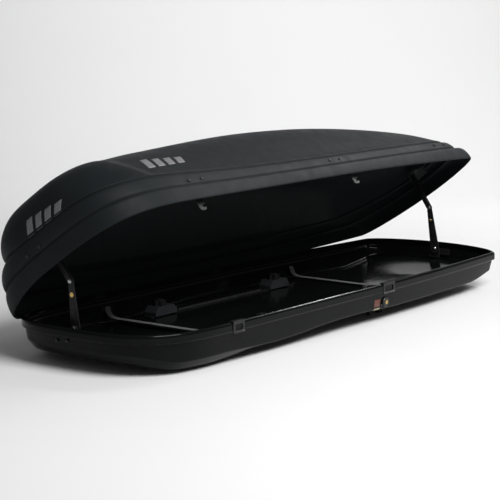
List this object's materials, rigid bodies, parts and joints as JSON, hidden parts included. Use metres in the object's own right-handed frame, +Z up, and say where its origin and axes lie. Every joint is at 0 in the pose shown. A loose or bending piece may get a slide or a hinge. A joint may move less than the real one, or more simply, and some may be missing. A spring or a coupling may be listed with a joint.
{
  "type": "roof cargo box",
  "caption": "Long hard-shell car roof cargo box with a deep tapered lid swung open on side hinges, folding lid lifters, key lock and bar clamps under a shallow tub.",
  "frame": {"origin": "centre of the level bar seat under the tub, midway between the tail and the nose of the rim", "axes": "+X along the length towards the narrow nose, +Y towards the hinge side, +Z up"},
  "size_m": [2.177, 0.7353, 0.6464],
  "materials": {
    "tub_abs": "glossy black vacuum-formed ABS",
    "lid_abs": "fine-grained charcoal ABS",
    "black_steel": "black powder coat",
    "zinc_steel": "bright zinc plate",
    "brass_trim": "plain brass",
    "black_plastic": "moulded black plastic",
    "grey_plastic": "moulded dark grey plastic",
    "webbing": "woven black webbing"
  },
  "bodies": {
    "tub": {"base_tub": "tub_abs", "catch_front": "black_steel", "catch_rear": "black_steel", "clamp_front_far_housing": "grey_plastic", "clamp_front_near_housing": "grey_plastic", "clamp_rear_far_housing": "grey_plastic", "clamp_rear_near_housing": "grey_plastic", "floor_rail_far": "black_steel", "floor_rail_near": "black_steel", "hinge_front_base_leaf": "black_steel", "hinge_front_pin": "zinc_steel", "hinge_rear_base_leaf": "black_steel", "hinge_rear_pin": "zinc_steel", "lifter_front_base_bracket": "black_steel", "lifter_front_base_rivet": "zinc_steel", "lifter_rear_base_bracket": "black_steel", "lifter_rear_base_rivet": "zinc_steel", "load_strap_front": "webbing", "load_strap_rear": "webbing", "lock_housing": "black_plastic", "rod_guide_front": "black_plastic", "rod_guide_rear": "black_plastic", "strap_buckle_front": "black_plastic", "strap_buckle_rear": "black_plastic", "tub_rivet_1": "black_steel", "tub_rivet_2": "black_steel"},
    "lid": {"hinge_front_lid_leaf": "black_steel", "hinge_rear_lid_leaf": "black_steel", "lid_hook_front": "black_steel", "lid_hook_rear": "black_steel", "lid_rivet_front_1": "black_steel", "lid_rivet_front_2": "black_steel", "lid_rivet_nose_1": "black_steel", "lid_rivet_nose_2": "black_steel", "lid_rivet_rear_1": "black_steel", "lid_rivet_rear_2": "black_steel", "lid_rivet_tail_1": "black_steel", "lid_rivet_tail_2": "black_steel", "lid_shell": "lid_abs", "lifter_front_lid_bracket": "zinc_steel", "lifter_rear_lid_bracket": "zinc_steel"},
    "lifter_rear_lower": {"lifter_rear_lower_arm": "black_steel", "lifter_rear_eyelet": "brass_trim", "lifter_rear_elbow_rivet": "zinc_steel"},
    "lifter_rear_upper": {"lifter_rear_upper_arm": "black_steel"},
    "lifter_front_lower": {"lifter_front_lower_arm": "black_steel", "lifter_front_eyelet": "brass_trim", "lifter_front_elbow_rivet": "zinc_steel"},
    "lifter_front_upper": {"lifter_front_upper_arm": "black_steel"},
    "lock_cylinder": {"lock_cylinder": "brass_trim"},
    "lock_rod": {"lock_rod": "zinc_steel"},
    "clamp_rear_near_claw": {"clamp_rear_near_claw": "black_steel"},
    "clamp_rear_near_knob": {"clamp_rear_near_knob": "black_plastic"},
    "clamp_rear_far_claw": {"clamp_rear_far_claw": "black_steel"},
    "clamp_rear_far_knob": {"clamp_rear_far_knob": "black_plastic"},
    "clamp_front_near_claw": {"clamp_front_near_claw": "black_steel"},
    "clamp_front_near_knob": {"clamp_front_near_knob": "black_plastic"},
    "clamp_front_far_claw": {"clamp_front_far_claw": "black_steel"},
    "clamp_front_far_knob": {"clamp_front_far_knob": "black_plastic"}
  },
  "joints": [
    {"name": "lid_hinge", "type": "hinge", "parent": "tub", "child": "lid", "pos_m": [0, 0.348, 0.063], "axis": [-1, 0, 0], "range_deg": [-35, 0]},
    {"name": "lifter_rear_base_pivot", "type": "hinge", "parent": "tub", "child": "lifter_rear_lower", "pos_m": [-1.006, 0.04, 0.079], "axis": [1, 0, 0], "range_deg": [0, 76.37]},
    {"name": "lifter_rear_elbow", "type": "hinge", "parent": "lifter_rear_lower", "child": "lifter_rear_upper", "pos_m": [-1.006, 0.05668, 0.22102], "axis": [1, 0, 0], "range_deg": [-118.56, 0]},
    {"name": "lifter_front_base_pivot", "type": "hinge", "parent": "tub", "child": "lifter_front_lower", "pos_m": [0.985, -0.02, 0.079], "axis": [1, 0, 0], "range_deg": [0, 82.54]},
    {"name": "lifter_front_elbow", "type": "hinge", "parent": "lifter_front_lower", "child": "lifter_front_upper", "pos_m": [0.985, 0.00695, 0.23469], "axis": [1, 0, 0], "range_deg": [-129.9, 0]},
    {"name": "lock_turn", "type": "hinge", "parent": "tub", "child": "lock_cylinder", "pos_m": [0.167, -0.3288, 0.025], "axis": [0, 1, 0], "range_deg": [0, 90]},
    {"name": "lock_rod_slide", "type": "slide", "parent": "tub", "child": "lock_rod", "axis": [-1, 0, 0], "range_m": [0, 0.01192]},
    {"name": "clamp_rear_near_knob_turn", "type": "hinge", "parent": "tub", "child": "clamp_rear_near_knob", "pos_m": [-0.394, -0.215, 0.038], "axis": [0, 0, 1], "range_deg": [0, 720]},
    {"name": "clamp_rear_near_claw_slide", "type": "slide", "parent": "tub", "child": "clamp_rear_near_claw", "axis": [-1, 0, 0], "range_m": [0, 0.0181]},
    {"name": "clamp_rear_far_knob_turn", "type": "hinge", "parent": "tub", "child": "clamp_rear_far_knob", "pos_m": [-0.394, 0.215, 0.038], "axis": [0, 0, 1], "range_deg": [0, 720]},
    {"name": "clamp_rear_far_claw_slide", "type": "slide", "parent": "tub", "child": "clamp_rear_far_claw", "axis": [-1, 0, 0], "range_m": [0, 0.0181]},
    {"name": "clamp_front_near_knob_turn", "type": "hinge", "parent": "tub", "child": "clamp_front_near_knob", "pos_m": [0.252, -0.215, 0.038], "axis": [0, 0, 1], "range_deg": [0, 720]},
    {"name": "clamp_front_near_claw_slide", "type": "slide", "parent": "tub", "child": "clamp_front_near_claw", "axis": [-1, 0, 0], "range_m": [0, 0.0181]},
    {"name": "clamp_front_far_knob_turn", "type": "hinge", "parent": "tub", "child": "clamp_front_far_knob", "pos_m": [0.252, 0.215, 0.038], "axis": [0, 0, 1], "range_deg": [0, 720]},
    {"name": "clamp_front_far_claw_slide", "type": "slide", "parent": "tub", "child": "clamp_front_far_claw", "axis": [-1, 0, 0], "range_m": [0, 0.0181]}
  ],
  "couplings": [
    {"joint": "lifter_rear_base_pivot", "follows": "lid_hinge", "ratio": -2.1677},
    {"joint": "lifter_rear_elbow", "follows": "lid_hinge", "ratio": 3.3731},
    {"joint": "lifter_front_base_pivot", "follows": "lid_hinge", "ratio": -2.344},
    {"joint": "lifter_front_elbow", "follows": "lid_hinge", "ratio": 3.697},
    {"joint": "lock_turn", "follows": "lock_rod_slide", "rad_per_m": 131.6},
    {"joint": "clamp_rear_near_claw_slide", "follows": "clamp_rear_near_knob_turn", "m_per_rad": 0.001432},
    {"joint": "clamp_rear_far_claw_slide", "follows": "clamp_rear_far_knob_turn", "m_per_rad": 0.001432},
    {"joint": "clamp_front_near_claw_slide", "follows": "clamp_front_near_knob_turn", "m_per_rad": 0.001432},
    {"joint": "clamp_front_far_claw_slide", "follows": "clamp_front_far_knob_turn", "m_per_rad": 0.001432}
  ]
}
